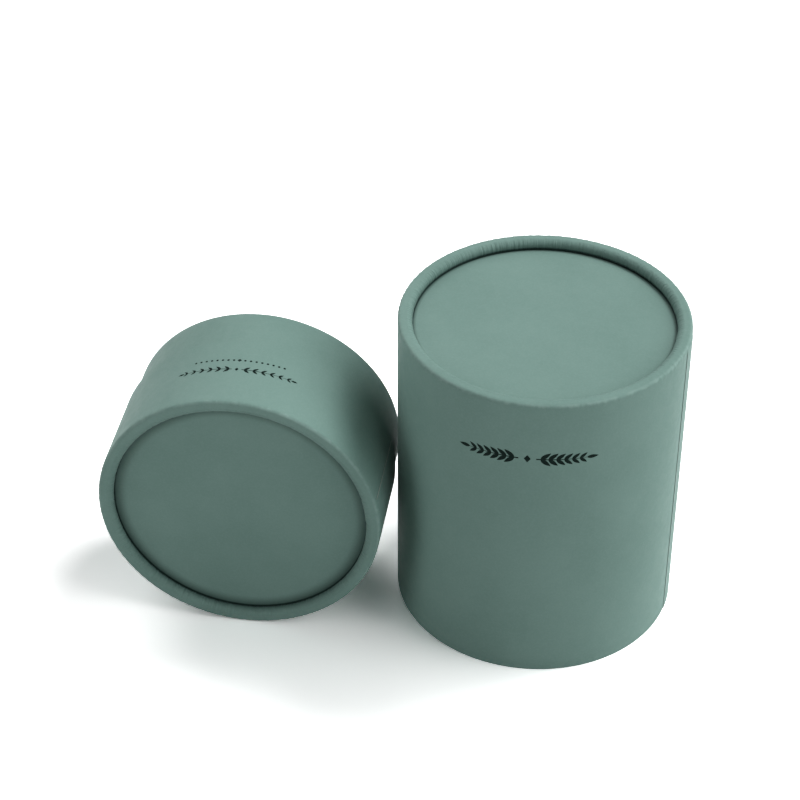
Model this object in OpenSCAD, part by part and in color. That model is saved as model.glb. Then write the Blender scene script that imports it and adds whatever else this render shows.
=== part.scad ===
// Round gift tube box of wound board and cover paper, with curled ends over recessed discs.
// It is open: the lid stands upright on its mouth, and the base lies on its side beside it,
// its closed end to the front (-Y) and its neck to the back (+Y).
// Millimetres, +Z up. The origin is on the floor, in the middle of the two.

/* [Tube] */
// Outside diameter, over the cover paper
tube_d = 86; // [70:1:120]
// Height of the lid, from its mouth to the crest of its rim
lid_h = 101.2; // [60:0.2:160]
// Height of the base's shell, from its open edge to the crest of its rim
base_h = 30.2; // [24:0.2:60]
// How far the neck stands out of the base's shell
neck_h = 15.8; // [10:0.2:24]

/* [Board and paper] */
// Wall of the wound board tube that the lid and the base's shell are cut from
board_t = 0.8; // [0.6:0.05:1.1]
// Wall of the neck's board tube
neck_t = 1.2; // [0.8:0.1:1.8]
// Thickness of the end discs
disc_t = 1.6; // [1:0.1:2.4]
// Thickness of the cover and facing paper
cover_t = 0.16; // [0.12:0.01:0.2]
// Thickness of the lining paper
lining_t = 0.1; // [0.08:0.01:0.16]

/* [Curled rim] */
// Width of the rim, from the outside to the face of its lip
rim_w = 4.45; // [4:0.05:6]
// Width of the rounded inner side of the rim
roll_w = 2.1; // [1.8:0.05:2.4]
// Depth of the end disc below the crest
recess = 3; // [2.4:0.1:4]
// Radius that the lip's lower edge turns under with
tuck_r = 0.75; // [0.35:0.05:0.75]
// Inner radius of the fold at the outer corner
fold_r = 0.05; // [0.05:0.05:0.5]

/* [Lap seams] */
// Width over which the cover paper laps itself
lap_w = 9; // [6:0.5:14]
// Where the lid's lap starts, in degrees from the front, anticlockwise from above
lid_lap_at = 77.3; // [0:0.1:78]
// Where the base's lap starts, in degrees from the top, towards the lid
base_lap_at = 75.9; // [0:0.1:78]

/* [Neck] */
// Radial clearance between the neck's cover and the lid's lining
neck_clear = 0.105; // [0.08:0.005:0.2]
// How far the neck's cover runs down inside the shell
neck_cover_in = 10; // [5:0.5:18]
// How far the neck's cover turns in over its edge
neck_turn_in = 8; // [4:0.5:12]

/* [Lid inside] */
// Height of the ring that holds the lid's disc
ring_h = 8; // [4:0.5:16]
// Wall of that ring
ring_t = 1.2; // [0.8:0.1:2]

/* [Insert] */
// Diameter of the recess for the bottle
bottle_d = 58; // [40:0.5:60]
// How far the insert's face lies below the neck's edge
insert_drop = 8; // [2:0.5:12]
// Foam left under the bottle
foam_floor = 8; // [4:0.5:12]
// Thickness of the card facing on the foam and of the card on the base's floor
card_t = 0.4; // [0.3:0.1:0.8]
// Radial clearance of the insert in the neck
insert_clear = 0.3; // [0.3:0.05:0.8]
// Rounding of the foam's lower edge
foam_edge_r = 1.5; // [0.5:0.5:3]

/* [Arrangement] */
// Gap between the lid and the base at their nearest
pair_gap = 0.3; // [0.3:0.1:20]
// How far the base's closed end lies in front of the lid's axis
base_front = 35.5; // [0:0.5:43]

/* [Hidden] */
$fn = 96;
sage = [0.44, 0.55, 0.52];
sage_dark = [0.38, 0.49, 0.46];
greyboard = [0.62, 0.6, 0.56];
white_paper = [0.9, 0.9, 0.87];
foam_black = [0.13, 0.13, 0.14];
arc_steps = 8;
// Clearance round a disc that is pushed into a tube
disc_clear = 0.1;
tube_r = tube_d / 2;
board_r = tube_r - cover_t;
bore_r = board_r - board_t;
lined_r = bore_r - lining_t;
lip_r = tube_r - rim_w;
lip_back_r = lip_r + cover_t + board_t;
fold_outer_r = fold_r + board_t + cover_t;
// The lip stands straight for this much above its turned edge
lip_straight = 0.2;
roll_h = recess - tuck_r - lip_straight;
// Stack under the rim, as depths below the crest: facing, disc, then what is glued inside
disc_top = recess + cover_t;
disc_under = disc_top + disc_t;
neck_r = lined_r - neck_clear;
neck_board_r = neck_r - cover_t;
neck_bore_r = neck_board_r - neck_t;
neck_top = base_h - disc_under;
floor_z = neck_top - card_t;
insert_r = neck_bore_r - cover_t - insert_clear;
insert_face_z = insert_drop - neck_h;
bottle_floor_z = floor_z - foam_floor;
lap_angle = lap_w / tube_r * 180 / PI;
pair_x = tube_r + pair_gap / 2;

// Points of an ellipse's arc about c, with its normals moved inwards by o
function arc(c, r, from, to, o) = [for (i = [0:arc_steps])
    let (t = from + (to - from) * i / arc_steps,
         n = [cos(t) / r[0], sin(t) / r[1]])
    c + [r[0] * cos(t), r[1] * sin(t)] - o * n / norm(n)];

function backwards(points) = [for (i = [len(points) - 1:-1:0]) points[i]];

// The tube's section at depth o below its outer surface, in radius and height, from the mouth up the
// wall, over the folded corner and the flat crest, and down the rounded inner side to the lip
function wall_path(h, o) = concat(
    [[tube_r - o, 0]],
    arc([tube_r - fold_outer_r, h - fold_outer_r], [fold_outer_r, fold_outer_r], 0, 90, o),
    arc([lip_r + roll_w, h - roll_h], [roll_w, roll_h], 90, 180, o));

// The lip's lower edge at the same depth, turned under and out to its back
function tuck_path(h, o) = concat(
    arc([lip_r + tuck_r, h - recess + tuck_r], [tuck_r, tuck_r], 180, 270, o),
    [[lip_back_r, h - recess + o]]);

// Board tube whose end is curled inwards; its cut edge faces down at the back of the lip
module curled_board(h) {
    rotate_extrude()
        polygon(concat(wall_path(h, cover_t), tuck_path(h, cover_t),
            backwards(wall_path(h, cover_t + board_t))));
}

// Paper over the wall, the curl and the lip's edge, with a second ply where it laps itself
module curled_cover(h, lap_at) {
    rotate_extrude()
        polygon(concat(wall_path(h, 0), tuck_path(h, 0),
            backwards(concat(wall_path(h, cover_t), tuck_path(h, cover_t)))));
    rotate([0, 0, lap_at])
        rotate_extrude(angle = lap_angle)
            polygon(concat(wall_path(h, -cover_t), backwards(wall_path(h, cover_t / 2))));
}

// Flat ring or disc of thickness t whose upper face is at z
module washer(r, t, z, hole_r = 0) {
    translate([0, 0, z - t])
        difference() {
            cylinder(r = r, h = t);
            if (hole_r > 0) translate([0, 0, -1]) cylinder(r = hole_r, h = t + 2);
        }
}

// Open tube of wall t between two heights
module sleeve(outer_r, t, z_low, z_high) {
    washer(outer_r, z_high - z_low, z_high, outer_r - t);
}

// Both halves are drawn upright on their open edge, then placed
module place_lid() {
    translate([pair_x, 0, 0]) children();
}

module place_base() {
    translate([-pair_x, base_h - base_front, tube_r]) rotate([90, 0, 0]) children();
}

module lid_tube() {
    color(greyboard) place_lid() curled_board(lid_h);
}

module lid_cover() {
    color(sage) place_lid() curled_cover(lid_h, lid_lap_at - 90);
}

module lid_disc() {
    color(greyboard) place_lid() washer(bore_r - disc_clear, disc_t, lid_h - disc_top);
}

module lid_facing() {
    color(sage) place_lid() washer(bore_r - disc_clear, cover_t, lid_h - recess);
}

module lid_ring() {
    color(greyboard) place_lid() sleeve(lined_r, ring_t, lid_h - disc_under - ring_h, lid_h - disc_under);
}

module lid_lining() {
    color(white_paper) place_lid() sleeve(bore_r, lining_t, 0, lid_h - disc_under);
}

module lid_ceiling() {
    color(white_paper) place_lid()
        washer(lined_r - ring_t - disc_clear, lining_t, lid_h - disc_under);
}

module base_tube() {
    color(greyboard) place_base() curled_board(base_h);
}

module base_cover() {
    color(sage) place_base() curled_cover(base_h, 90 - base_lap_at - lap_angle);
}

module base_disc() {
    color(greyboard) place_base() washer(bore_r - disc_clear, disc_t, base_h - disc_top);
}

module base_facing() {
    color(sage_dark) place_base() washer(bore_r - disc_clear, cover_t, base_h - recess);
}

module neck_tube() {
    color(greyboard) place_base() sleeve(neck_board_r, neck_t, cover_t - neck_h, neck_top);
}

// Paper outside the neck, over its edge and turned in
module neck_cover() {
    color(sage) place_base() {
        sleeve(neck_r, cover_t, -neck_h, neck_cover_in);
        sleeve(neck_r, neck_t + 2 * cover_t, -neck_h, cover_t - neck_h);
        sleeve(neck_bore_r, cover_t, -neck_h, neck_turn_in - neck_h);
    }
}

module neck_lining() {
    color(white_paper) place_base() sleeve(neck_bore_r, lining_t, neck_turn_in - neck_h, neck_top);
}

module base_floor() {
    color(white_paper) place_base() washer(neck_bore_r - lining_t - disc_clear, card_t, neck_top);
}

// Foam block with a blind recess for the bottle, open towards the neck's mouth
module insert_foam() {
    color(foam_black) place_base()
        difference() {
            rotate_extrude() polygon(concat(
                [[0, insert_face_z + card_t], [insert_r, insert_face_z + card_t]],
                arc([insert_r - foam_edge_r, floor_z - foam_edge_r], [foam_edge_r, foam_edge_r], 0, 90, 0),
                [[0, floor_z]]));
            translate([0, 0, insert_face_z]) cylinder(r = bottle_d / 2, h = bottle_floor_z - insert_face_z);
        }
}

module insert_facing() {
    color(foam_black) place_base()
        washer(insert_r, card_t, insert_face_z + card_t, bottle_d / 2);
}

lid_tube();
lid_cover();
lid_disc();
lid_facing();
lid_ring();
lid_lining();
lid_ceiling();
base_tube();
base_cover();
base_disc();
base_facing();
neck_tube();
neck_cover();
neck_lining();
base_floor();
insert_foam();
insert_facing();
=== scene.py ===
"""Looks of a round gift tube box covered in sage green soft-touch paper.

The lid stands on its mouth, and the base lies on its side beside it, its closed end to the front.
Lengths are millimetres until they go into a mesh or a node. Each half is worked out in its own frame,
with the tube's axis on Z, its open edge at 0 and its closed end up.
"""
import math

import bmesh
import bpy
import numpy as np
from mathutils import Matrix, Vector


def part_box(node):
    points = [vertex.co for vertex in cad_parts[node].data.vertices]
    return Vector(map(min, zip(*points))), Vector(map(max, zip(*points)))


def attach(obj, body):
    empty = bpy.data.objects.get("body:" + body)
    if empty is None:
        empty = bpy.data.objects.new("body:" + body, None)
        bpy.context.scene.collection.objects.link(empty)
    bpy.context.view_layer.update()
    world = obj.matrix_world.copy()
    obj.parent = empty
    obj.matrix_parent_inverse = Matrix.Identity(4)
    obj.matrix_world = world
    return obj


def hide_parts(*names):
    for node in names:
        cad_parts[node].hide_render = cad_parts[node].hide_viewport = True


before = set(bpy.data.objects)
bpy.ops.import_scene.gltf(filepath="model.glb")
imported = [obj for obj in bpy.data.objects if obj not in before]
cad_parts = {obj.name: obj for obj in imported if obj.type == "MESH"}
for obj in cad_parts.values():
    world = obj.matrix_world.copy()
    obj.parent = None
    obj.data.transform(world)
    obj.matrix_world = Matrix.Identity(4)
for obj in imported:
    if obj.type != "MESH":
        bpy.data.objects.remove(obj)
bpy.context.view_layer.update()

MM = 0.001

# The rim's section, as it is built in the CAD model
RIM_W = 4.45
ROLL_W = 2.1
TUCK_R = 0.75
LIP_STRAIGHT = 0.2
FOLD_R = 0.05

# Angles of the paper laps, in each half's own frame: the cut edge, and the way the lap runs from it
LAP_W = 9.0
LID_LAP = (-12.7, 1)
BASE_LAP = (14.1, -1)

# Printed ornament: the middle's angle in the half's own frame and height, how wide and high a field it
# takes, how far the paper is pressed in there, and how far the ink stands on it
LID_PRINT = (-89.8, 82.1, 47.0, 16.0)
BASE_PRINT = (92.5, 14.2, 46.0, 17.0)
PRINT_SINK = 0.03
INK_T = 0.018

# How finely a round piece is divided, and how deep its paper may sink without baring the board
ROUND_STEPS = 960
DEEPEST = 0.12

# Colours, linear
SAGE = (0.170, 0.282, 0.250)
SAGE_DEEP = (0.152, 0.259, 0.228)
# Pale sage: the paper's tooth, and the folded corners, which are part wear and part painted highlight
SAGE_PALE_AND_HIGHLIGHT = (0.245, 0.365, 0.330)
# Darkest sage: painted shade down the roll, under the lip, at the facing's edge and before the lap's cut edge
SAGE_PAINTED_SHADE = (0.006, 0.026, 0.021)
SAGE_RAW = (0.42, 0.47, 0.44)
BOARD = (0.345, 0.315, 0.262)
BOARD_DARK = (0.235, 0.212, 0.172)
LINING = (0.760, 0.750, 0.715)
FOAM = (0.020, 0.020, 0.022)
CARD = (0.026, 0.027, 0.029)
INK = (0.004, 0.011, 0.009)


def span(node):
    """Lowest and highest corner of a CAD node, in millimetres."""
    low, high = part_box(node)
    return np.array(low) / MM, np.array(high) / MM


def extent(node, axis):
    low, high = span(node)
    return high[axis] - low[axis]


# Sizes that the frame tells
COVER_T = extent("lid_facing", 2)
TUBE_R = extent("lid_tube", 1) / 2 + COVER_T
BORE_R = extent("lid_lining", 1) / 2
FACING_R = extent("lid_facing", 1) / 2
BOARD_T = TUBE_R - COVER_T - BORE_R
LID_H = extent("lid_tube", 2) + COVER_T
BASE_H = extent("base_tube", 1) + COVER_T
RECESS = LID_H - span("lid_facing")[1][2]

LIP_R = TUBE_R - RIM_W
LIP_BACK_R = LIP_R + COVER_T + BOARD_T
FOLD_OUTER_R = FOLD_R + BOARD_T + COVER_T
ROLL_H = RECESS - TUCK_R - LIP_STRAIGHT
LAP_ANGLE = math.degrees(LAP_W / TUBE_R)

# The base's axis runs along the frame's -Y, so a height in its own frame is counted back from its open edge
BASE_OPEN = span("base_tube")[1][1]
NECK_R = extent("neck_cover", 0) / 2
NECK_BORE_R = extent("neck_lining", 0) / 2
NECK_TOP = BASE_OPEN - span("neck_cover")[1][1]
NECK_IN = BASE_OPEN - span("neck_cover")[0][1]
NECK_TURN_END = BASE_OPEN - span("neck_lining")[1][1]
INSERT_R = extent("insert_foam", 0) / 2
CARD_T = extent("insert_facing", 1)
INSERT_FACE = BASE_OPEN - span("insert_facing")[1][1]
INSERT_FLOOR = BASE_OPEN - span("insert_foam")[0][1]
BOTTLE_R = 29.0
FOAM_UNDER_BOTTLE = 8.0
FOAM_EDGE_R = 1.5


class Half:
    """Where one half of the box stands, how tall its tube is, and where its cover paper laps.

    The pair after the lap says how far in from the lip its end facing is painted with shade, and how dark.
    """

    def __init__(self, name, body, height, lap, press, place):
        self.name = name
        self.body = body
        self.height = height
        self.lap_edge, self.lap_way = lap
        self.press, self.press_shade = press
        self.place = place


def middle(node, axis):
    low, high = span(node)
    return (low[axis] + high[axis]) / 2


lid = Half("lid", "lid", LID_H, LID_LAP, (1.2, 0.45), Matrix.Translation(Vector((middle("lid_tube", 0), 0, 0)) * MM))
base = Half(
    "base", "base", BASE_H, BASE_LAP, (4.0, 0.62),
    Matrix.Translation(Vector((middle("base_tube", 0), BASE_OPEN, middle("base_tube", 2))) * MM)
    @ Matrix.Rotation(math.radians(90), 4, "X"))


# Sections: lists of (radius, height) points

def arc(centre, radii, start, end, steps, depth):
    """Points of an ellipse's arc between two angles in degrees, moved inwards along its normals."""
    t = np.radians(np.linspace(start, end, steps + 1))
    points = np.stack([np.cos(t) * radii[0], np.sin(t) * radii[1]], 1)
    normals = np.stack([np.cos(t) / radii[0], np.sin(t) / radii[1]], 1)
    normals /= np.linalg.norm(normals, axis=1, keepdims=True)
    return np.array(centre) + points - depth * normals


def between(start, end, steps):
    """Points of a straight stretch, its last one left out."""
    share = np.arange(steps)[:, None] / steps
    return np.array(start) + share * (np.array(end) - np.array(start))


def rim_section(height, depth, steps):
    """The tube's section at a depth below its surface: wall, folded corner, crest, roll and turned lip."""
    wall, fold, crest, roll, tuck = steps
    corner = arc((TUBE_R - FOLD_OUTER_R, height - FOLD_OUTER_R), (FOLD_OUTER_R,) * 2, 0, 90, fold, depth)
    rolled = arc((LIP_R + ROLL_W, height - ROLL_H), (ROLL_W, ROLL_H), 90, 180, roll, depth)
    turned = arc((LIP_R + TUCK_R, height - RECESS + TUCK_R), (TUCK_R,) * 2, 180, 270, tuck, depth)
    below_fold = (TUBE_R - depth, corner[0][1] - 1.5)
    return np.concatenate([
        between((TUBE_R - depth, 0), below_fold, wall - 3),
        between(below_fold, corner[0], 3),
        corner[:-1],
        between(corner[-1], rolled[0], crest),
        rolled,
        turned,
        [(LIP_BACK_R, height - RECESS + depth)]])


def smooth_step(x):
    x = np.clip(x, 0, 1)
    return x * x * (3 - 2 * x)


def bell(x, middle_at, width):
    return np.exp(-((x - middle_at) / width) ** 2)


# Forms of the paper: each gives a depth in millimetres for every angle and every point of a section

def round_angles(half_or_edge):
    """Degrees right round, with two angles close together where a lap's cut edge stands up."""
    edge, way = half_or_edge
    even = np.arange(ROUND_STEPS) * 360 / ROUND_STEPS
    return np.unique(np.concatenate([even, [(edge - 0.03 * way) % 360, edge % 360]]))


def lap_rise(angles, lap, cut):
    """1 on the lap's upper ply: a step at its cut edge, so many degrees wide, and a soft one at the other."""
    edge, way = lap
    past = ((angles - edge) * way) % 360
    soft = 1.6
    rise = np.minimum(smooth_step((LAP_ANGLE - past) / soft), smooth_step(past / cut) if cut else 1)
    return np.where(past < LAP_ANGLE, rise, 0)


def ripple(angles, seed, counts, draws=7):
    """An irregular wave round the tube between 0 and 1, of so many crests a turn."""
    rng = np.random.default_rng(seed)
    total = np.zeros(len(angles))
    for _ in range(draws):
        crests = rng.integers(*counts)
        total += rng.uniform(0.5, 1) * np.sin(np.radians(angles) * crests + rng.uniform(0, 2 * math.pi))
    return (total - total.min()) / (total.max() - total.min())


def facets(angles, seed, count):
    """Flats of unequal length between ridges, as where folded paper breaks: 0 on a ridge, up to 1 between."""
    rng = np.random.default_rng(seed)
    lengths = rng.uniform(0.55, 1.45, count)
    ridges = np.concatenate([[0], np.cumsum(lengths)]) * 360 / lengths.sum()
    hollow = rng.uniform(0.45, 1, count)
    flat = np.clip(np.searchsorted(ridges, angles, side="right") - 1, 0, count - 1)
    along = (angles - ridges[flat]) / (ridges[flat + 1] - ridges[flat])
    return hollow[flat] * 4 * along * (1 - along)


def print_field(angles, heights, field):
    """1 where the ornament is printed, falling off smoothly round it."""
    at, up, wide, high = field
    aside = np.abs(np.radians((angles - at + 180) % 360 - 180)) * TUBE_R
    across = smooth_step((wide / 2 + 3 - aside) / 3)
    along = smooth_step((high / 2 + 1 - np.abs(heights - up)) / 3)
    return across[:, None] * along


def pleats(angles, along, radius, seed, count, deepest):
    """Fine gathers of unequal width and depth across a turned edge, along which `along` runs from 0 to 1."""
    rng = np.random.default_rng(seed)
    depth = np.zeros((len(angles), len(along)))
    for _ in range(count):
        away = (angles - rng.uniform(0, 360) + 180) % 360 - 180
        across = bell(np.radians(away) * radius, 0, rng.uniform(0.16, 0.5))
        starts = rng.uniform(0.05, 0.75)
        rise = smooth_step((along - starts) / 0.3)
        depth += deepest * rng.uniform(0.15, 1) ** 2 * across[:, None] * rise
    return depth


# Meshes

def grid_object(name, half, radius, height, angles, material, closed):
    """Sweeps a section round the half's axis. radius and height hold one row for each angle.

    A closed section makes a ring, and an open one starts and ends on the axis.
    """
    turns, points = radius.shape
    t = np.radians(angles)[:, None]
    vertices = np.stack([radius * np.cos(t), radius * np.sin(t), height], 2).reshape(-1, 3) * MM
    vertices = vertices @ np.array(half.place.to_3x3()).T + np.array(half.place.translation)
    turn = np.arange(turns)[:, None]
    point = np.arange(points if closed else points - 1)[None, :]
    following, beside = (turn + 1) % turns * points, (point + 1) % points
    corners = (turn * points + point, following + point, following + beside, turn * points + beside)
    faces = np.stack([c.ravel() for c in corners], 1)
    mesh = bpy.data.meshes.new(name)
    mesh.from_pydata(vertices.tolist(), [], faces.tolist())
    work = bmesh.new()
    work.from_mesh(mesh)
    if not closed:
        bmesh.ops.remove_doubles(work, verts=work.verts, dist=1e-8)
    bmesh.ops.recalc_face_normals(work, faces=work.faces)
    work.to_mesh(mesh)
    work.free()
    return finish_piece(name, half, mesh, material)


def finish_piece(name, half, mesh, material, sharp=40):
    mesh.shade_smooth()
    mesh.set_sharp_from_angle(angle=math.radians(sharp))
    mesh.materials.append(material)
    piece = bpy.data.objects.new(name, mesh)
    bpy.context.scene.collection.objects.link(piece)
    return piece


def belongs(piece, body, slot, *nodes):
    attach(piece, body)
    if nodes:
        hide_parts(*nodes)


def paper_ring(name, half, outer, inner, angles, depth, material):
    """A closed ring of paper whose outer surface sinks by depth, one row for each angle."""
    normal = outer["inward"]
    sunk = outer["points"][None] + depth[:, :, None] * normal[None]
    back = np.broadcast_to(inner[::-1][None], (len(angles), *inner.shape))
    loop = np.concatenate([sunk, back], 1)
    return grid_object(name, half, loop[:, :, 0], loop[:, :, 1], angles, material, closed=True)


def curled_cover(half, seed, field, material):
    """Cover paper of one half: over the wall, round the curl and under the lip, lapped at its seam."""
    steps = (29, 7, 4, 16, 7)
    points = rim_section(half.height, 0, steps)
    outer = {"points": points, "inward": rim_section(half.height, 1, steps) - points}
    outer["inward"] /= np.linalg.norm(outer["inward"], axis=1, keepdims=True)
    inner = rim_section(half.height, COVER_T, (5, 3, 1, 8, 4))
    wall, fold, crest, roll, tuck = steps
    start = wall + fold + crest
    rolled = np.clip((np.arange(len(points)) - start) / roll, 0, 1)
    angles = round_angles((half.lap_edge, half.lap_way))
    gathers = pleats(angles, rolled, LIP_R, seed, 190, 0.1)
    breaks = facets(angles, seed + 1, 100)[:, None]
    corner = bell(points[:, 0] + points[:, 1], TUBE_R + half.height - 0.6, 0.7)
    corner *= smooth_step((points[:, 1] - half.height + 2.4) / 1.2)
    scallops = DEEPEST * breaks * corner + 0.05 * breaks * smooth_step(rolled * 3)
    drift = 0.05 * ripple(angles, seed + 2, (2, 7))[:, None] * (rolled == 0)
    depth = np.minimum(gathers + scallops + drift, DEEPEST)
    printed = print_field(angles, points[:, 1], field) * (rolled == 0)
    depth += (PRINT_SINK - depth) * printed
    lap = (half.lap_edge, half.lap_way)
    curled = smooth_step((points[:, 1] - half.height + 2.2) / 1.6)
    depth -= COVER_T * (1 - curled) * lap_rise(angles, lap, 0)[:, None]
    depth -= 0.7 * COVER_T * curled * lap_rise(angles, lap, 4)[:, None]
    depth[:, -1] = 0
    piece = paper_ring(half.name + "_cover_paper", half, outer, inner, angles, depth, material)
    belongs(piece, half.body, "cover_paper", half.name + "_cover")


def end_facing(half, seed, material):
    """Facing paper on the end disc, pressed down a little where the lip bears on it."""
    rings = np.concatenate([np.linspace(0, 36, 25), np.linspace(36.4, 40.4, 21), [FACING_R - 0.05, FACING_R]])
    angles = np.arange(0, 360, 1.0)
    across = np.radians(angles)[:, None]
    x, y = rings * np.cos(across), rings * np.sin(across)
    rng = np.random.default_rng(seed)
    sag = np.zeros_like(x)
    for _ in range(6):
        wave = rng.uniform(-0.09, 0.09, 2)
        sag += np.sin(x * wave[0] + y * wave[1] + rng.uniform(0, 6.28))
    sag = 0.045 * (sag - sag.min()) / (sag.max() - sag.min())
    pressed = 0.1 * bell(rings, LIP_R + 0.35, 0.5)
    top = half.height - RECESS - np.minimum(sag + pressed, DEEPEST)
    top[:, -2:] = half.height - RECESS - 0.02
    top[:, -1] -= 0.03
    top[:, 0] = top[:, 0].mean()
    under = half.height - RECESS - COVER_T
    radius = np.concatenate([np.broadcast_to(rings, top.shape), np.full((len(angles), 1), FACING_R),
                             np.zeros((len(angles), 1))], 1)
    height = np.concatenate([top, np.full((len(angles), 2), under)], 1)
    piece = grid_object(half.name + "_facing_paper", half, radius, height, angles, material, closed=False)
    belongs(piece, half.body, "facing_paper", half.name + "_facing")


def neck_cover(seed, material):
    """Paper on the neck: outside it, over its mouth and turned in, with gathers where it turns."""
    edge_r = 0.35
    inside_r = NECK_BORE_R - COVER_T

    def section(depth, steps):
        wall, turn, lip, inside = steps
        first = arc((NECK_R - edge_r, NECK_TOP + edge_r), (edge_r,) * 2, 0, -90, turn, depth)
        second = arc((inside_r + edge_r, NECK_TOP + edge_r), (edge_r,) * 2, 270, 180, turn, depth)
        return np.concatenate([
            between((NECK_R - depth, NECK_IN), first[0], wall), first[:-1],
            between(first[-1], second[0], lip), second[:-1],
            between(second[-1], (inside_r + depth, NECK_TURN_END), inside),
            [(inside_r + depth, NECK_TURN_END)]])

    steps = (14, 5, 3, 12)
    points = section(0, steps)
    inward = section(COVER_T, steps) - points
    outer = {"points": points, "inward": inward / np.linalg.norm(inward, axis=1, keepdims=True)}
    lap = (196.0, 1)
    angles = round_angles(lap)
    turned = np.clip((np.arange(len(points)) - steps[0]) / (len(points) - steps[0]), 0, 1)
    easing = 1 - 0.7 * smooth_step((turned - 0.5) * 2)
    depth = pleats(angles, turned * 2, NECK_BORE_R, seed, 130, 0.08) * easing
    depth = np.minimum(depth + 0.03 * ripple(angles, seed + 1, (2, 9))[:, None], DEEPEST)
    ends = np.ones(len(points))
    ends[[0, -1]] = 0
    depth *= ends
    piece = paper_ring("neck_cover_paper", base, outer, section(COVER_T, (2, 3, 1, 2)), angles, depth, material)
    belongs(piece, "base", "cover_paper", "neck_cover")


def blade(start, way, length, width, outline, steps=9):
    """Edges of a flat printed shape that runs from start at an angle: pairs of points beside its middle."""
    along = np.linspace(0, 1, steps + 1)
    ahead = np.array([math.cos(math.radians(way)), math.sin(math.radians(way))])
    aside = np.array([-ahead[1], ahead[0]])
    middle_line = np.array(start) + along[:, None] * length * ahead
    half_width = (outline(along) * width / 2)[:, None]
    return middle_line + half_width * aside, middle_line - half_width * aside


def leaf(t):
    return np.sin(math.pi * t ** 0.8) ** 0.9 + 0.02


def lozenge(t):
    return 1 - np.abs(2 * t - 1) * 0.97


def dot(t):
    return np.sqrt(np.maximum(1 - (2 * t - 1) ** 2, 0.01))


def rule(t):
    return 1 - 0.75 * t


def sprig(reach, pairs, size):
    """A twig to each side of a small lozenge, with paired leaves that get smaller outwards."""
    shapes = [blade((-0.16 * size, 0), 0, 0.32 * size, 0.44 * size, lozenge)]
    for side in (1, -1):
        way = 90 - 90 * side
        shapes.append(blade((side * 0.42 * size, 0), way, reach - 0.95 * size, 0.075 * size, rule, 40))
        for k in range(pairs):
            share = k / (pairs - 1)
            foot = 0.62 * size + share * (reach - 1.55 * size)
            length = size * (0.62 - 0.16 * share)
            for lean in (38, -38):
                shapes.append(blade((side * foot, 0), way + side * lean, length, 0.36 * length, leaf))
        shapes.append(blade((side * (reach - 0.58 * size), 0), way, 0.58 * size, 0.2 * size, leaf))
    return shapes


def dotted_rule(reach, pitch, width, up):
    """A row of round dots with a lozenge in its middle."""
    shapes = [blade((-0.9 * width, up), 0, 1.8 * width, 1.8 * width, lozenge)]
    for k in range(1, int(reach / pitch) + 1):
        for side in (1, -1):
            shapes.append(blade((side * k * pitch - width / 2, up), 0, width, width, dot, 8))
    return shapes


def printed_ornament(name, half, field, shapes, material):
    """Thin ink on the wall: each flat shape is bent round the tube as a closed skin."""
    at, up = field[:2]
    ways = 1 if half is lid else -1
    low, high = TUBE_R - PRINT_SINK - 0.01, TUBE_R - PRINT_SINK + INK_T
    vertices, faces = [], []
    for left, right in shapes:
        count, first = len(left), len(vertices)
        for edge in (left, right):
            for radius in (low, high):
                for x, y in edge:
                    t = math.radians(at) + ways * x / TUBE_R
                    vertices.append(Vector((radius * math.cos(t), radius * math.sin(t), up + ways * y)) * MM)
        left_low, left_high, right_low, right_high = (first + k * count for k in range(4))
        for a, b in ((left_high, right_high), (right_high, right_low), (right_low, left_low),
                     (left_low, left_high)):
            faces += [(a + k, a + k + 1, b + k + 1, b + k) for k in range(count - 1)]
        for k in (0, count - 1):
            faces.append((left_low + k, left_high + k, right_high + k, right_low + k))
    mesh = bpy.data.meshes.new(name)
    mesh.from_pydata([half.place @ v for v in vertices], [], faces)
    work = bmesh.new()
    work.from_mesh(mesh)
    bmesh.ops.recalc_face_normals(work, faces=work.faces)
    work.to_mesh(mesh)
    work.free()
    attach(finish_piece(name, half, mesh, material), half.body)


def foam_block(material):
    """The insert's foam, with a blind recess for the bottle."""
    bottle_floor = INSERT_FLOOR - FOAM_UNDER_BOTTLE
    face = INSERT_FACE + CARD_T
    edge = arc((INSERT_R - FOAM_EDGE_R, INSERT_FLOOR - FOAM_EDGE_R), (FOAM_EDGE_R,) * 2, 0, 90, 6, 0)
    foot = arc((BOTTLE_R - 1.2, bottle_floor - 1.2), (1.2, 1.2), 90, 0, 5, 0)
    section = np.concatenate([
        between((0, bottle_floor), foot[0], 14), foot,
        between((BOTTLE_R, bottle_floor - 1.2), (BOTTLE_R, face), 14)[1:],
        between((BOTTLE_R, face), (INSERT_R, face), 6),
        between((INSERT_R, face), edge[0], 12), edge,
        between(edge[-1], (0, INSERT_FLOOR), 8)[1:], [(0, INSERT_FLOOR)]])
    angles = np.arange(0, 360, 1.5)
    shape = (len(angles), len(section))
    radius = np.broadcast_to(section[:, 0], shape).copy()
    height = np.broadcast_to(section[:, 1], shape).copy()
    rng = np.random.default_rng(31)
    recess_wall = (section[:, 0] > BOTTLE_R - 0.01) & (section[:, 0] < BOTTLE_R + 0.01)
    radius[:, recess_wall] += rng.uniform(0, 0.08, (len(angles), recess_wall.sum()))
    outside = section[:, 0] > INSERT_R - 0.01
    radius[:, outside] -= rng.uniform(0, 0.1, (len(angles), outside.sum()))
    piece = grid_object("insert_foam_block", base, radius, height, angles, material, closed=False)
    belongs(piece, "insert", "foam", "insert_foam")


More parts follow.
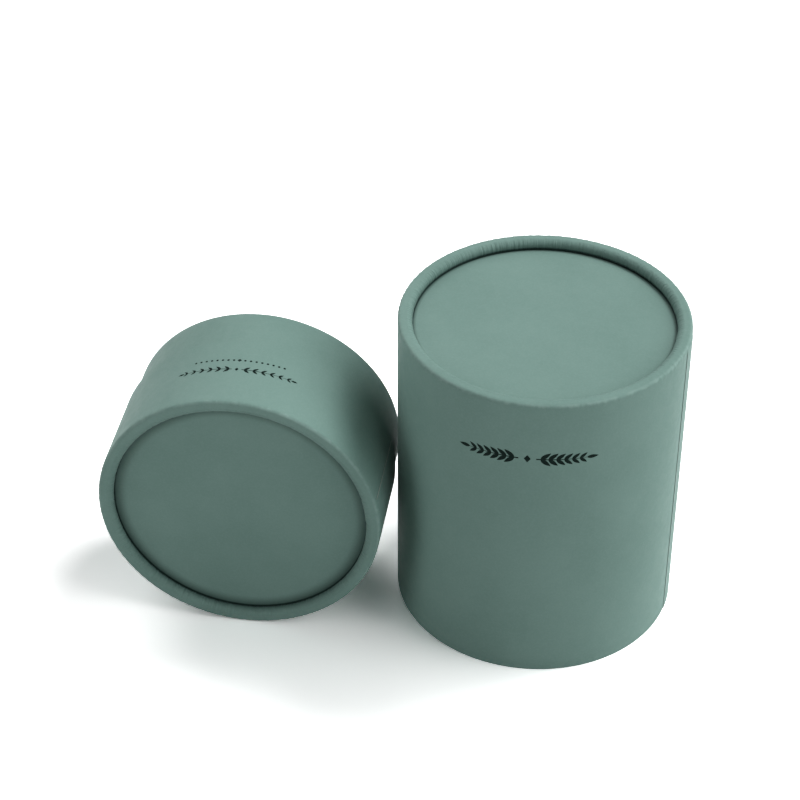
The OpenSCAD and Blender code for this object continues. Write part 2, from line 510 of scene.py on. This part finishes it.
def insert_card(material):
    """Card on the foam's face, its edges softened and its face not quite flat."""
    soft = 0.12
    low, high = INSERT_FACE, INSERT_FACE + CARD_T
    outline = [(BOTTLE_R, low + soft), (BOTTLE_R + soft, low)]
    outline += [tuple(p) for p in between((BOTTLE_R + 2 * soft, low), (INSERT_R - 2 * soft, low), 10)]
    outline += [(INSERT_R - soft, low), (INSERT_R, low + soft), (INSERT_R, high), (BOTTLE_R, high)]
    section = np.array(outline)
    angles = np.arange(0, 360, 1.0)
    shape = (len(angles), len(section))
    radius = np.broadcast_to(section[:, 0], shape)
    height = np.broadcast_to(section[:, 1], shape).copy()
    face = section[:, 1] < low + 2 * soft
    height[:, face] += 0.1 * ripple(angles, 41, (2, 6))[:, None]
    piece = grid_object("insert_card", base, radius, height, angles, material, closed=True)
    belongs(piece, "insert", "insert_card", "insert_facing")


# Materials

class Shader:
    """A material in the making. Each call adds a node and gives its output."""

    def __init__(self, name, half):
        self.material = bpy.data.materials.new(name)
        self.material.use_nodes = True
        self.tree = self.material.node_tree
        self.surface = self.tree.nodes["Principled BSDF"]
        here = self.node("TexCoord", output="Object")
        self.point = self.node("Mapping", {
            "Vector": here, "Location": half.place.translation, "Rotation": half.place.to_euler()},
            vector_type="TEXTURE")
        axes = self.node_of("SeparateXYZ", {0: self.point}).outputs
        self.height = axes[2]
        self.flat = self.node("CombineXYZ", {0: axes[0], 1: axes[1]})
        self.radius = self.node("VectorMath", {0: self.flat}, operation="LENGTH", output="Value")
        self.angle = self.math("ARCTAN2", axes[1], axes[0])

    def node_of(self, kind, inputs=(), **settings):
        made = self.tree.nodes.new("ShaderNode" + kind)
        for key, value in settings.items():
            setattr(made, key, value)
        for key, value in dict(inputs).items():
            if isinstance(value, bpy.types.NodeSocket):
                self.tree.links.new(value, made.inputs[key])
            else:
                made.inputs[key].default_value = value
        return made

    def node(self, kind, inputs=(), output=0, **settings):
        return self.node_of(kind, inputs, **settings).outputs[output]

    def math(self, operation, *values):
        return self.node("Math", dict(enumerate(values)), operation=operation)

    def noise(self, scale, detail=2.0, roughness=0.5, vector=None):
        inputs = {"Vector": vector or self.point, "Scale": scale, "Detail": detail, "Roughness": roughness}
        return self.node("TexNoise", inputs)

    def stretched(self, x, y, z):
        return self.node("VectorMath", {0: self.point, 1: (x, y, z)}, operation="MULTIPLY")

    def step(self, value, low, high, to_low=0.0, to_high=1.0):
        """A smooth change from to_low to to_high as value goes from low to high."""
        inputs = {0: value, 1: low, 2: high, 3: to_low, 4: to_high}
        return self.node("MapRange", inputs, interpolation_type="SMOOTHSTEP")

    def both(self, a, b):
        return self.math("MULTIPLY", a, b)

    def mix(self, share, a, b):
        colours = [(*c, 1) if isinstance(c, tuple) else c for c in (a, b)]
        return self.node("Mix", {0: share, 6: colours[0], 7: colours[1]}, output=2, data_type="RGBA")

    def relief(self, height, depth, below=None):
        """Bump of a depth in millimetres, on top of another bump."""
        inputs = {"Height": height, "Distance": depth * MM, "Strength": 1.0}
        if below:
            inputs["Normal"] = below
        return self.node("Bump", inputs)

    def finish(self, colour, roughness, normal=None, **fixed):
        """Feeds the surface. What is the same all over goes on its own sockets."""
        for key, value in (("Base Color", colour), ("Roughness", roughness), ("Normal", normal)):
            if isinstance(value, bpy.types.NodeSocket):
                self.tree.links.new(value, self.surface.inputs[key])
            elif value is not None:
                self.surface.inputs[key].default_value = value
        for key, value in fixed.items():
            self.surface.inputs[key.replace("_", " ")].default_value = value
        return self.material


def sage_paper(name, half, lap=None, part="curl", lap_shade=0.4, lap_raw=0.5):
    """Soft-touch paper: an even sage with slow mottling, a fine tooth, and paler corners that are part wear and part
    painted highlight. It also holds painted shade down the roll, under the lip, towards the facing's edge and before
    the lap's cut edge.
    """
    s = Shader(name, half)
    slow = s.noise(38, 3)
    cloudy = s.step(slow, 0.3, 0.7)
    colour = s.mix(cloudy, SAGE_DEEP, SAGE)
    tooth = s.noise(1500, 3, 0.6)
    colour = s.mix(s.step(tooth, 0.35, 0.75, 0, 0.16), colour, SAGE_PALE_AND_HIGHLIGHT)
    round_about = s.node("VectorMath", {0: s.flat}, operation="NORMALIZE")
    # Paler along the folded corner: part rubbed wear, part painted highlight
    waves = s.math("SUBTRACT", s.noise(17, 2, 0.6, vector=round_about), 0.5)
    fold_height = s.math("ADD", s.height, s.both(waves, 2.2 * MM))
    corner = s.both(
        s.step(s.radius, (TUBE_R - 1.0) * MM, (TUBE_R - 0.35) * MM),
        s.step(fold_height, (half.height - 1.0) * MM, (half.height - 0.3) * MM))
    rubbed_and_highlight = s.both(corner, s.step(s.noise(260, 3), 0.25, 0.6))
    colour = s.mix(s.both(rubbed_and_highlight, 0.6), colour, SAGE_PALE_AND_HIGHLIGHT)
    sunk = s.math("SUBTRACT", half.height * MM, s.height)
    # Painted shade: the roll darkens downwards, and darkest of all under the lip
    if part == "curl":
        rim_inside = s.step(s.radius, (LIP_R + ROLL_W + 0.1) * MM, (LIP_R + ROLL_W - 0.3) * MM)
        down_roll = s.both(rim_inside, s.step(sunk, -0.4 * MM, 2.5 * MM))
        colour = s.mix(s.both(down_roll, 0.6), colour, SAGE_PAINTED_SHADE)
        under_lip = s.both(rim_inside, s.step(sunk, (RECESS - TUCK_R - 0.35) * MM, (RECESS - 0.6 * TUCK_R) * MM))
        colour = s.mix(s.both(under_lip, 0.93), colour, SAGE_PAINTED_SHADE)
    # Painted shade: the end facing darkens softly towards the lip, and darkest of all under it
    if part == "facing":
        pressed = s.both(s.step(s.radius, (LIP_R - half.press) * MM, LIP_R * MM), half.press_shade)
        colour = s.mix(pressed, colour, SAGE_PAINTED_SHADE)
        under_lip = s.step(s.radius, (LIP_R - 0.35) * MM, (LIP_R + 0.1) * MM)
        colour = s.mix(s.both(under_lip, 0.93), colour, SAGE_PAINTED_SHADE)
    # Painted shadow: a thin dark line before the lap's cut edge; past it, the paler raw edge of the paper
    if lap:
        past = s.both(s.math("SUBTRACT", s.angle, math.radians(lap[0])), float(lap[1]))
        wall = s.step(s.height, (half.height - 0.8) * MM, (half.height - 3.0) * MM)
        shade = s.both(s.step(past, -0.0080, -0.0015), s.step(past, 0.0006, -0.0006))
        colour = s.mix(s.both(s.both(shade, wall), lap_shade), colour, SAGE_PAINTED_SHADE)
        raw = s.both(s.step(past, -0.0008, 0.0006), s.step(past, 0.0075, 0.0035))
        colour = s.mix(s.both(s.both(raw, wall), lap_raw), colour, SAGE_RAW)
    normal = s.relief(tooth, 0.02)
    if part == "curl":
        streaks = s.math("SUBTRACT", s.noise(46, 3, 0.6, vector=round_about), 0.5)
        on_roll = s.step(s.radius, (LIP_R + ROLL_W) * MM, (LIP_R + 0.6 * ROLL_W) * MM)
        normal = s.relief(s.both(streaks, on_roll), 0.6, normal)
    roughness = s.step(s.noise(420, 3), 0.3, 0.7, 0.58, 0.7)
    return s.finish(colour, roughness, normal, Specular_IOR_Level=0.18, Sheen_Weight=0.04, Sheen_Roughness=0.5)


def greyboard(name, half):
    """Wound board: its cut edge shows the plies as thin rings, and its faces show fibres."""
    s = Shader(name, half)
    fibres = s.noise(900, 4, 0.65)
    colour = s.mix(s.step(fibres, 0.3, 0.75), BOARD_DARK, BOARD)
    plies = s.math("SINE", s.math("MULTIPLY", s.radius, 2 * math.pi / (0.27 * MM)))
    colour = s.mix(s.step(plies, 0.55, 1.0, 0, 0.45), colour, BOARD_DARK)
    normal = s.relief(fibres, 0.05)
    return s.finish(colour, 0.9, normal, Specular_IOR_Level=0.25)


def lining_paper(name, half):
    """White lining paper, with the seam of its winding running up as a screw line."""
    s = Shader(name, half)
    fibres = s.noise(700, 4, 0.6)
    colour = s.mix(s.step(fibres, 0.3, 0.7, 0, 0.12), LINING, tuple(0.86 * c for c in LINING))
    pitch = 150 * MM
    turn = s.math("ADD", s.math("DIVIDE", s.angle, 2 * math.pi), s.math("DIVIDE", s.height, pitch))
    across = s.math("ABSOLUTE", s.math("SUBTRACT", s.math("FRACT", turn), 0.5))
    seam = s.step(across, 0.0, 0.0022, 1, 0)
    colour = s.mix(s.both(seam, 0.35), colour, tuple(0.55 * c for c in LINING))
    normal = s.relief(fibres, 0.02, s.relief(seam, 0.08))
    return s.finish(colour, 0.78, normal, Specular_IOR_Level=0.3)


def plain_paper(name, half):
    """White card, flat and faintly fibrous."""
    s = Shader(name, half)
    fibres = s.noise(620, 4, 0.6)
    colour = s.mix(s.step(fibres, 0.3, 0.7, 0, 0.16), LINING, tuple(0.8 * c for c in LINING))
    return s.finish(colour, 0.8, s.relief(fibres, 0.03), Specular_IOR_Level=0.3)


def matt_ink(name, half):
    """Dark green ink, a little uneven where the paper's tooth takes less of it."""
    s = Shader(name, half)
    colour = s.mix(s.step(s.noise(1500, 3, 0.6), 0.45, 0.8), INK, tuple(2 * c for c in INK))
    return s.finish(colour, 0.75, Specular_IOR_Level=0.05)


def black_foam(name, half):
    """Closed-cell foam: fine open-cut cells all over."""
    s = Shader(name, half)
    cells = s.node("TexVoronoi", {"Vector": s.point, "Scale": 1300, "Randomness": 1.0}, output="Distance")
    grain = s.noise(2600, 2)
    colour = s.mix(s.step(cells, 0.15, 0.6), FOAM, tuple(2.4 * c for c in FOAM))
    normal = s.relief(grain, 0.04, s.relief(cells, 0.12))
    return s.finish(colour, 0.95, normal, Specular_IOR_Level=0.2, Sheen_Weight=0.15, Sheen_Roughness=0.6)


def black_card(name, half):
    """Black card with a faint tooth."""
    s = Shader(name, half)
    tooth = s.noise(1100, 4, 0.6)
    colour = s.mix(s.step(tooth, 0.35, 0.75), CARD, tuple(1.7 * c for c in CARD))
    return s.finish(colour, 0.7, s.relief(tooth, 0.03), Specular_IOR_Level=0.35)


def finish_nodes():
    """Gives each CAD node that stays in view its own procedural material."""
    finishes = {
        "lid": {greyboard: ("lid_tube", "lid_disc", "lid_ring"), lining_paper: ("lid_lining",),
                plain_paper: ("lid_ceiling",)},
        "base": {greyboard: ("base_tube", "base_disc", "neck_tube"), lining_paper: ("neck_lining",),
                 plain_paper: ("base_floor",)}}
    for half in (lid, base):
        for make, nodes in finishes[half.name].items():
            material = make(half.name + "_" + make.__name__, half)
            for node in nodes:
                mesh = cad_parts[node].data
                mesh.materials.clear()
                mesh.materials.append(material)


# Camera, floor and light

def add_camera():
    """The photograph's camera: where it looks on the floor, from how far, how steeply and how far round."""
    aim = Vector((-12.46, 82.88, 0)) * MM
    distance, pitch, turn = 788.0 * MM, math.radians(37.77), math.radians(8.83)
    forward = Vector((-math.sin(turn) * math.cos(pitch), math.cos(turn) * math.cos(pitch), -math.sin(pitch)))
    data = bpy.data.cameras.new("camera")
    data.sensor_width = 36
    data.lens = 2249.6 / 800 * data.sensor_width
    camera = bpy.data.objects.new("camera", data)
    camera.location = aim - forward * distance
    camera.rotation_euler = forward.to_track_quat("-Z", "Y").to_euler()
    bpy.context.scene.collection.objects.link(camera)
    bpy.context.scene.camera = camera


def seen_directly(tree):
    """1 for a ray that comes from the camera or by a reflection or through glass, and else 0."""
    path = tree.nodes.new("ShaderNodeLightPath").outputs
    total = path["Is Camera Ray"]
    for kind in ("Is Glossy Ray", "Is Transmission Ray"):
        larger = tree.nodes.new("ShaderNodeMath")
        larger.operation = "MAXIMUM"
        tree.links.new(total, larger.inputs[0])
        tree.links.new(path[kind], larger.inputs[1])
        total = larger.outputs[0]
    return total


def add_floor():
    """White floor, overexposed to the eye as in the photograph, so that only its deeper shadows show."""
    reach, paint, seen = 4.0, 0.5, 1.95
    mesh = bpy.data.meshes.new("floor")
    mesh.from_pydata([(-reach, -reach, 0), (reach, -reach, 0), (reach, reach, 0), (-reach, reach, 0)],
                     [], [(0, 1, 2, 3)])
    floor = bpy.data.objects.new("floor", mesh)
    bpy.context.scene.collection.objects.link(floor)
    material = bpy.data.materials.new("floor")
    material.use_nodes = True
    tree = material.node_tree
    tree.nodes.remove(tree.nodes["Principled BSDF"])
    surface = tree.nodes.new("ShaderNodeBsdfDiffuse")
    colour = tree.nodes.new("ShaderNodeMix")
    colour.data_type = "RGBA"
    colour.inputs[6].default_value = (paint, paint, paint, 1)
    colour.inputs[7].default_value = (seen, seen, seen, 1)
    tree.links.new(seen_directly(tree), colour.inputs[0])
    tree.links.new(colour.outputs[2], surface.inputs["Color"])
    tree.links.new(surface.outputs[0], tree.nodes["Material Output"].inputs["Surface"])
    mesh.materials.append(material)


def add_lamp(name, azimuth, elevation, level, spread):
    """A far, broad lamp: level 1 shows a surface square to it in the colour that its material says."""
    lamp = bpy.data.lights.new(name, "SUN")
    lamp.energy = level * math.pi
    lamp.angle = math.radians(spread)
    holder = bpy.data.objects.new(name, lamp)
    turn, rise = math.radians(azimuth), math.radians(elevation)
    source = Vector((math.cos(turn) * math.cos(rise), math.sin(turn) * math.cos(rise), math.sin(rise)))
    holder.rotation_euler = source.to_track_quat("Z", "Y").to_euler()
    bpy.context.scene.collection.objects.link(holder)


def add_light():
    """A main lamp on the right, a high one and one behind, low ones at both sides, and white all round."""
    for name, azimuth, elevation, level, spread in (
            ("main_lamp", 0, 37, 0.50, 46), ("high_lamp", 42, 54, 0.51, 24),
            ("back_lamp", 124, 38, 0.35, 44), ("left_lamp", 209, 13, 0.30, 40),
            ("right_front_lamp", -32, 13, 0.29, 42)):
        add_lamp(name, azimuth, elevation, level, spread)

    world = bpy.data.worlds.new("surroundings")
    bpy.context.scene.world = world
    world.use_nodes = True
    tree = world.node_tree
    ambient = 0.0
    strength = tree.nodes.new("ShaderNodeMix")
    strength.inputs[2].default_value = ambient
    strength.inputs[3].default_value = 1
    tree.links.new(seen_directly(tree), strength.inputs[0])
    tree.links.new(strength.outputs[0], tree.nodes["Background"].inputs["Strength"])
    tree.nodes["Background"].inputs["Color"].default_value = (1, 1, 1, 1)


bpy.context.scene.view_settings.view_transform = "Standard"
add_camera()
add_floor()
add_light()
finish_nodes()

lid_paper = sage_paper("lid_sage_paper", lid, LID_LAP)
base_paper = sage_paper("base_sage_paper", base, BASE_LAP, lap_shade=0.1, lap_raw=1.0)
curled_cover(lid, 11, LID_PRINT, lid_paper)
curled_cover(base, 17, BASE_PRINT, base_paper)
end_facing(lid, 5, sage_paper("lid_facing_sage", lid, part="facing"))
end_facing(base, 7, sage_paper("base_facing_sage", base, part="facing"))
neck_cover(23, sage_paper("neck_sage_paper", base, part="neck"))
foam_block(black_foam("black_foam", base))
insert_card(black_card("black_card", base))

printed_ornament("lid_print", lid, LID_PRINT, sprig(20.5, 6, 6.0), matt_ink("lid_ink", lid))
printed_ornament("base_print", base, BASE_PRINT, sprig(18.5, 6, 3.5) + dotted_rule(14.5, 1.7, 0.75, 4.4),
                 matt_ink("base_ink", base))
